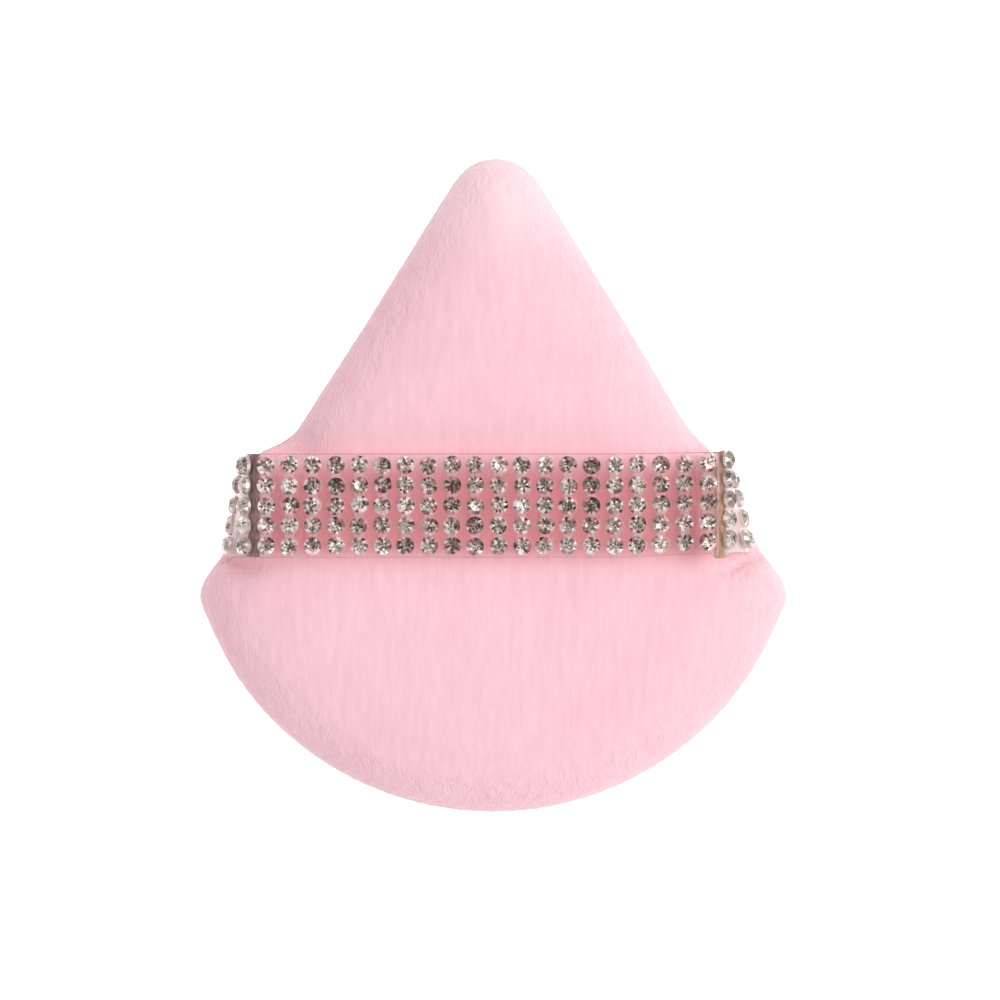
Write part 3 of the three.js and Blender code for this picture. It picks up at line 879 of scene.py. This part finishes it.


# %% [markdown]
# ## Velvet
# Velvet has no shine of its own. Its pile stands up and catches light sideways, which the sheen of
# the shader does. The colour changes a little with the lie of the pile: streaks from tip to bottom,
# softer clouds where a hand has stroked it, and a fine grain of single tufts. Under the strap the
# pink is painted deeper, a painted shade of the strap. In a narrow band just above and below the
# strap it is painted warmer, a painted bounce light in the strap's shadow. Towards the tip the pink
# is painted paler, a painted light. Each mask below is 1 where its colour goes.

# %% Masks by the place on the puff
SHADE_TOP = 1.7 * MM
SHADE_BOTTOM = -8.3 * MM
SHADE_SIDE = 29 * MM
SHADE_SOFTNESS = 1.8 * MM
BOUNCE_BAND_REACH = 2.8 * MM
TIP_LIGHT_FROM = 24 * MM
TIP_LIGHT_TO = 38 * MM
TIP_LIGHT_SHARE = 0.4


# Painted shade: 1 under the strap, where the velvet is painted a deeper pink for the strap's shadow.
def painted_strap_shade(velvet):
    x, y, _ = velvet.coordinates()
    soft = SHADE_SOFTNESS / 2
    below_top = velvet.rise(y, SHADE_TOP + SHADE_SOFTNESS, SHADE_TOP - SHADE_SOFTNESS)
    above_bottom = velvet.rise(y, SHADE_BOTTOM - soft, SHADE_BOTTOM + soft)
    outer = (SHADE_SIDE + SHADE_SOFTNESS) ** 2
    inner = (SHADE_SIDE - SHADE_SOFTNESS) ** 2
    return below_top * above_bottom * velvet.rise(x * x, outer, inner)


# Painted bounce light: 1 in a band just above and below the strap, where its shadow is painted a warmer
# pink.
def painted_bounce_band(velvet):
    y = velvet.coordinates()[1]
    below = velvet.rise(y, film_low.y - BOUNCE_BAND_REACH, film_low.y)
    above = velvet.rise(y, film_high.y + BOUNCE_BAND_REACH, film_high.y)
    return below * above


# Painted light: towards the tip the velvet is painted paler, as if more lit.
def painted_tip_light(velvet):
    y = velvet.coordinates()[1]
    return velvet.rise(y, TIP_LIGHT_FROM, TIP_LIGHT_TO) * TIP_LIGHT_SHARE


# %% [markdown]
# Round the slopes the cloth is bent, so its pile opens into small curls, and along the seam, where
# the surface stands up, the pink is painted grey, a painted shade at the rim. Both depend on how far
# the surface turns away from level. The shares are those of its normal that point up or down, squared.

# %% The lie and the relief of the pile
CLOUD = 9 * MM
GRAIN_WIDTH = 0.3 * MM
GRAIN_LENGTH = 0.7 * MM
STREAK_SHARE = 0.5
CLOUD_SHARE = 0.3
GRAIN_SHARE = 0.2
LIE_CONTRAST = 1.7
STREAK_RELIEF_SHARE = 0.45
GRAIN_RELIEF_SHARE = 0.4
CURL_WIDTH = 0.6 * MM
CURL_LENGTH = 2 * MM
CURL_WARP = 1.2
OPEN_SHARES = (0.94, 0.7)
RIM_SHADE_SHARES = (0.17, 0.02)
FLAT_CURLS = 0.1
SLOPE_CURLS = 3.2


def contrasted(pattern, contrast):
    """The same pattern with more difference on both sides of its middle."""
    return (pattern - 0.5) * contrast + 0.5


def pile_shade(streaks, clouds, grain):
    lie = streaks * STREAK_SHARE + clouds * CLOUD_SHARE + grain * GRAIN_SHARE
    return contrasted(lie, LIE_CONTRAST)


def pile_relief(velvet, streaks, grain):
    """The height of the pile: combed on the flat, curling on the slopes."""
    opened = velvet.rise(velvet.facing(2), *OPEN_SHARES)
    curls = velvet.noise((CURL_WIDTH, CURL_LENGTH, CURL_WIDTH), 1, 0.5, CURL_WARP)
    combed = streaks * STREAK_RELIEF_SHARE + grain * GRAIN_RELIEF_SHARE
    return combed + curls * (FLAT_CURLS + opened * SLOPE_CURLS)


# %% The velvet's finish
RELIEF_HEIGHT = 0.1 * MM
RELIEF_SHARE = 0.65


def velvet_finish():
    velvet = Finish("pink_velvet")
    streaks = velvet.noise((STREAK_WIDTH, STREAK_LENGTH, STREAK_WIDTH), 3, 0.6)
    clouds = velvet.noise((CLOUD,) * 3)
    grain = velvet.noise((GRAIN_WIDTH, GRAIN_LENGTH, GRAIN_WIDTH), 2, 0.6)
    shade = pile_shade(streaks, clouds, grain)
    plain_pink = velvet.mix(shade, rgb(229, 178, 188), rgb(244, 202, 210))
    # Painted bounce light: a warmer, redder pink in the strap's shadow beside it.
    painted_bounce_pink = velvet.mix(shade, rgb(250, 180, 190), rgb(255, 205, 213))
    # Painted shade: the deeper pink under the strap.
    painted_shade_pink = velvet.mix(shade, rgb(246, 154, 162), rgb(255, 178, 185))
    colour = velvet.mix(painted_bounce_band(velvet), plain_pink, painted_bounce_pink)
    colour = velvet.mix(painted_strap_shade(velvet), colour, painted_shade_pink)
    # Painted light: the paler tip.
    colour = velvet.mix(painted_tip_light(velvet), colour, rgb(250, 222, 228))
    # Painted shade: where the surface stands up along the seam, the velvet is painted grey.
    painted_rim_shade = velvet.rise(velvet.facing(2), *RIM_SHADE_SHARES)
    colour = velvet.mix(painted_rim_shade, colour, rgb(218, 192, 197))
    relief = pile_relief(velvet, streaks, grain)
    return velvet.finished({
        "Base Color": colour,
        "Roughness": 0.95,
        "Specular IOR Level": 0.15,
        "Sheen Weight": 0.34,
        "Sheen Roughness": 0.45,
        "Sheen Tint": rgb(255, 246, 246),
        "Normal": velvet.bump(relief, RELIEF_HEIGHT, RELIEF_SHARE),
    })


pink_velvet = velvet_finish()

# %% [markdown]
# ## Foam and thread
# The foam is off-white and dull, and its pores are painted darker, a painted shade in the hollows. The
# thread is dyed like the velvet and has a twist, which shows as fine slanting lines; the grooves of
# the twist are painted darker, a painted shade.

# %% The foam's and the thread's finishes
TWIST = 0.25 * MM
TWIST_HEIGHT = 0.03 * MM


def foam_finish():
    foam = Finish("white_foam")
    pores = foam.noise((PORE,) * 3, 4, 0.7)
    return foam.finished({
        # Painted shade: the pores are darker.
        "Base Color": foam.mix(pores, rgb(214, 206, 190), rgb(247, 243, 234)),
        "Roughness": 0.9,
        "Normal": foam.bump(pores, PORE_DEPTH),
    })


def thread_finish():
    thread = Finish("pink_thread")
    twist = thread.node(
        "ShaderNodeTexWave",
        {"bands_direction": "DIAGONAL"},
        {"Vector": thread.place((TWIST,) * 3), "Scale": 1, "Distortion": 0.5},
        out=1,
    )
    return thread.finished({
        # Painted shade: the twist's grooves are darker.
        "Base Color": thread.mix(twist, rgb(214, 140, 158), rgb(246, 190, 203)),
        "Roughness": 0.6,
        "Normal": thread.bump(twist, TWIST_HEIGHT),
    })


white_foam = foam_finish()
pink_thread = thread_finish()

# %% [markdown]
# ## Clear film and clear glue
# Light goes nearly straight through both, and a little comes back from their skin, more at a
# glancing angle. The alpha socket says how much of the surface is there: it follows the Fresnel
# curve, so that the film is almost gone on its flat front. A clear skin is never quite level, so
# slow waves bend what it mirrors.

# %% What film and glue share
GLASS_IOR = 1.5
WAVE_HEIGHT = 0.03 * MM


def clear_finished(clear, colour, alpha, roughness, wave):
    waves = clear.noise((wave,) * 3, 1, 0.4)
    return clear.finished({
        "Base Color": colour,
        "Roughness": roughness,
        "Specular IOR Level": 0.8,
        "Alpha": alpha,
        "Normal": clear.bump(waves, WAVE_HEIGHT),
    })


# %% [markdown]
# Three places of the film are plain to see. Its cut edges show as thin dark lines, painted shade of
# the refracting edge, and their narrow faces get the same painted dark colour. Its folds are painted
# brown, a painted shade of the dark gap under each fold seen through the film: stronger towards the
# bottom, and darker on the left fold, which is turned away from the main light. Past the folds the
# ends are scuffed.

# %% Where the film shows
FOLD_INNER = -0.45 * MM
FOLD_OUTER = 0.8 * MM
FOLD_FADE = 0.9 * MM
FOLD_SHADE_GROWTH = 4.5 * MM
TOP_FOLD_SHADE_SHARE = 0.4
BLOTCH_WIDTH = 0.45 * MM
BLOTCH_LENGTH = 1.4 * MM
BLOTCH_CONTRAST = 2.2


def fold_mask(film, outwards):
    """A mask that is 1 just past a crease, for the distance outwards from that crease."""
    start = film.rise(outwards, FOLD_INNER, FOLD_INNER + FOLD_FADE / 3)
    end = film.rise(outwards, FOLD_OUTER + FOLD_FADE, FOLD_OUTER)
    return start * end


# The painted fold shade grows stronger towards the bottom.
def fold_shade_strength(film, y):
    downwards = film.rise(y, film_high.y, film_high.y - FOLD_SHADE_GROWTH)
    return TOP_FOLD_SHADE_SHARE + downwards * (1 - TOP_FOLD_SHADE_SHARE)


def fold_blotches(film):
    blotches = film.noise((BLOTCH_WIDTH, BLOTCH_LENGTH, BLOTCH_WIDTH), 3, 0.7)
    return contrasted(blotches, BLOTCH_CONTRAST)


# %% The film's finish
VEIL_SHARE = 0.4
FOLD_SHARE = 0.66
SCUFF_SHARE = 0.22
EDGE_SHARE = 0.14
CUT_SHARE = 0.4
GLOSS = 0.08
FOLD_DULLNESS = 0.3
FILM_WAVE = 3 * MM


def film_finish():
    film = Finish("clear_film")
    x, y, _ = film.coordinates()
    left_fold = fold_mask(film, film_low.x - x)
    right_fold = fold_mask(film, x - film_high.x)
    both_folds = left_fold + right_fold
    edge = film.attribute("cut_edge")
    cut_face = film.facing(1) ** 2
    scuffed = film.rise(x * x, film_high.x ** 2, (film_high.x + FOLD_OUTER) ** 2)
    fresnel = film.node("ShaderNodeFresnel", {}, {"IOR": GLASS_IOR})
    blotches = fold_blotches(film)
    # Painted shade: the folds are brown, the dark gap under them seen through the film, the left one darker.
    right_fold_shade = film.mix(blotches, rgb(104, 68, 54), rgb(208, 160, 138))
    left_fold_shade = film.mix(blotches, rgb(84, 52, 48), rgb(160, 120, 116))
    colour = film.mix(right_fold, rgb(238, 228, 229), right_fold_shade)
    colour = film.mix(left_fold, colour, left_fold_shade)
    # Painted shade: the cut edges and their narrow faces are drawn as thin dark lines.
    colour = film.mix(edge + cut_face, colour, rgb(158, 108, 114))
    folds = both_folds * fold_shade_strength(film, y)
    alpha = fresnel * VEIL_SHARE + folds * FOLD_SHARE + scuffed * SCUFF_SHARE
    alpha = alpha + edge * EDGE_SHARE + cut_face * CUT_SHARE
    return clear_finished(film, colour, alpha, GLOSS + both_folds * FOLD_DULLNESS, FILM_WAVE)


clear_film = film_finish()

# %% The glue's finish
GLUE_LEAST_SHARE = 0.14
GLUE_VEIL_SHARE = 0.6
GLUE_ROUGHNESS = 0.3
GLUE_WAVE = 0.6 * MM


def glue_finish():
    glue = Finish("clear_glue")
    fresnel = glue.node("ShaderNodeFresnel", {}, {"IOR": GLASS_IOR})
    alpha = GLUE_LEAST_SHARE + fresnel * GLUE_VEIL_SHARE
    return clear_finished(glue, rgb(240, 222, 220), alpha, GLUE_ROUGHNESS, GLUE_WAVE)


clear_glue = glue_finish()

# %% [markdown]
# ## Foiled glass
# The facets' tones become greys with a warm tinge, as foil seen through glass has, and their painted
# pink reflection leads over to pinks, the same greys painted as if lit by the velvet. Nearly half of
# the light comes back as from metal, so that each facet also mirrors its own piece of the room, and
# the rest is scattered.

# %% The stones' finish
TONES = (0.0, 0.3, 0.6, 0.85)
GREYS = (rgb(52, 50, 46), rgb(126, 122, 112), rgb(196, 193, 181), rgb(255, 253, 248))
REFLECTED_PINKS = (rgb(96, 48, 54), rgb(174, 106, 112), rgb(230, 164, 170), rgb(255, 228, 232))


def crystal_finish():
    crystal = Finish("foiled_crystal")
    tone = crystal.attribute("facet_tone")
    grey, pink = (
        crystal.node("ShaderNodeValToRGB", {"stops": list(zip(TONES, colours))}, {"Fac": tone})
        for colours in (GREYS, REFLECTED_PINKS)
    )
    return crystal.finished({
        # Painted reflection: facets blend from greys to pinks by their painted pink reflection.
        "Base Color": crystal.mix(crystal.attribute("facet_blush"), grey, pink),
        "Roughness": 0.34,
        "Metallic": 0.45,
        "Coat Weight": 0.08,
    })


foiled_crystal = crystal_finish()

# %% Lay the finishes on the pieces
grip_cover.data.materials.append(pink_velvet)
powder_cover.data.materials.append(pink_velvet)
foam_filling.data.materials.append(white_foam)
film_strap.data.materials.append(clear_film)
for column in columns.values():
    column.data.materials.append(foiled_crystal)
    column.data.materials.append(clear_glue)
for node in ("seam_needle_thread", "seam_bobbin_thread", "closing_thread"):
    frame["nodes"][node].data.materials.clear()
    frame["nodes"][node].data.materials.append(pink_thread)

# %% [markdown]
# ## What moves with what
# The covers and the foam stay with the puff. The film's front rises with the strap, and its tails
# stay in the seam, so the film is blended from the seam's height to the film's own. A column on the
# front rides the strap. A column on a folded end is stiff, so the whole of it follows the film by
# the share that its middle has: a blend along a very long line gives all its points that share.

# %% Put every piece on its body
FAR = 1.0

for cover, node in ((grip_cover, "grip_face_cover"), (powder_cover, "powder_face_cover")):
    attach(cover, "puff")
    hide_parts(node)
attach(foam_filling, "puff")
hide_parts("foam_core")
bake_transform(film_strap, "puff", "strap", start=(0, 0, seam_height), end=(0, 0, film_low.z))
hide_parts("strap_film", "strap_end_left", "strap_end_right")


def follow_film(column, height):
    share = (height - seam_height) / (film_low.z - seam_height)
    start = Vector((0, 0, height - share * FAR))
    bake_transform(column, "puff", "strap", start=start, end=start + Vector((0, 0, FAR)))


for node, column in columns.items():
    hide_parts(node)
    if is_on_flap(node):
        follow_film(column, column_places[node][ROWS // 2].translation.z)
    else:
        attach(column, "strap")

# %% [markdown]
# ## Floor, light and camera
# The photograph looks straight down at a puff on clean white. A floor that also glows a little has
# no hard shadow and stays white. The main light is large and comes from the right, which leaves the
# left slopes darker, as in the photograph. A weak one from the lower left opens their shade.

# %% The floor
FLOOR_DROP = 0.02 * MM
FLOOR_SIZE = 6.0
FLOOR_GLOW = 0.75


def make_floor():
    bpy.ops.object.select_all(action="DESELECT")
    bpy.ops.mesh.primitive_plane_add(size=FLOOR_SIZE, location=(0, 0, -FLOOR_DROP))
    floor = bpy.context.object
    floor.name = "floor"
    paper = Finish("white_paper").finished({
        "Base Color": rgb(236, 236, 236),
        "Roughness": 0.9,
        "Specular IOR Level": 0,
        "Emission Color": rgb(255, 255, 255),
        "Emission Strength": FLOOR_GLOW,
    })
    floor.data.materials.append(paper)


make_floor()

# %% The lights
KEY_PLACE = Vector((0.65, 0.12, 0.88))
KEY_SIZE = 0.56
KEY_POWER = 8.1
FILL_PLACE = Vector((-0.5, -0.3, 0.85))
FILL_SIZE = 0.8
FILL_POWER = 1.5
ROOM_LIGHT = 0.545


def add_area_light(name, place, size, power):
    """A round light that looks at the puff."""
    data = bpy.data.lights.new(name, "AREA")
    data.shape = "DISK"
    data.size = size
    data.energy = power
    light = bpy.data.objects.new(name, data)
    light.location = place
    light.rotation_euler = place.to_track_quat("Z", "Y").to_euler()
    bpy.context.scene.collection.objects.link(light)


def light_room():
    """An even light from all sides."""
    room = bpy.data.worlds.new("studio")
    bpy.context.scene.world = room
    room.use_nodes = True
    background = room.node_tree.nodes["Background"]
    background.inputs["Color"].default_value = (1, 1, 1, 1)
    background.inputs["Strength"].default_value = ROOM_LIGHT


add_area_light("key_light", KEY_PLACE, KEY_SIZE, KEY_POWER)
add_area_light("fill_light", FILL_PLACE, FILL_SIZE, FILL_POWER)
light_room()
bpy.context.scene.view_settings.view_transform = "Standard"

# %% [markdown]
# The camera hangs straight above the puff, far enough away for the picture to be nearly without
# perspective. Its place is shifted a little, because the puff's middle isn't the picture's.

# %% The camera
PIXEL = 0.12214 * MM
PICTURE = 1000
MIDDLE_X = 493.5
MIDDLE_Y = 484.2
CAMERA_DISTANCE = 2.0


def make_camera():
    data = bpy.data.cameras.new("camera")
    data.lens = data.sensor_width * CAMERA_DISTANCE / (PICTURE * PIXEL)
    data.clip_end = 2 * CAMERA_DISTANCE
    camera = bpy.data.objects.new("camera", data)
    across = (PICTURE / 2 - MIDDLE_X) * PIXEL
    up = (MIDDLE_Y - PICTURE / 2) * PIXEL
    camera.location = (across, up, seam_height + CAMERA_DISTANCE)
    bpy.context.scene.collection.objects.link(camera)
    bpy.context.scene.camera = camera
    print("the lens is", round(data.lens), "mm")


make_camera()
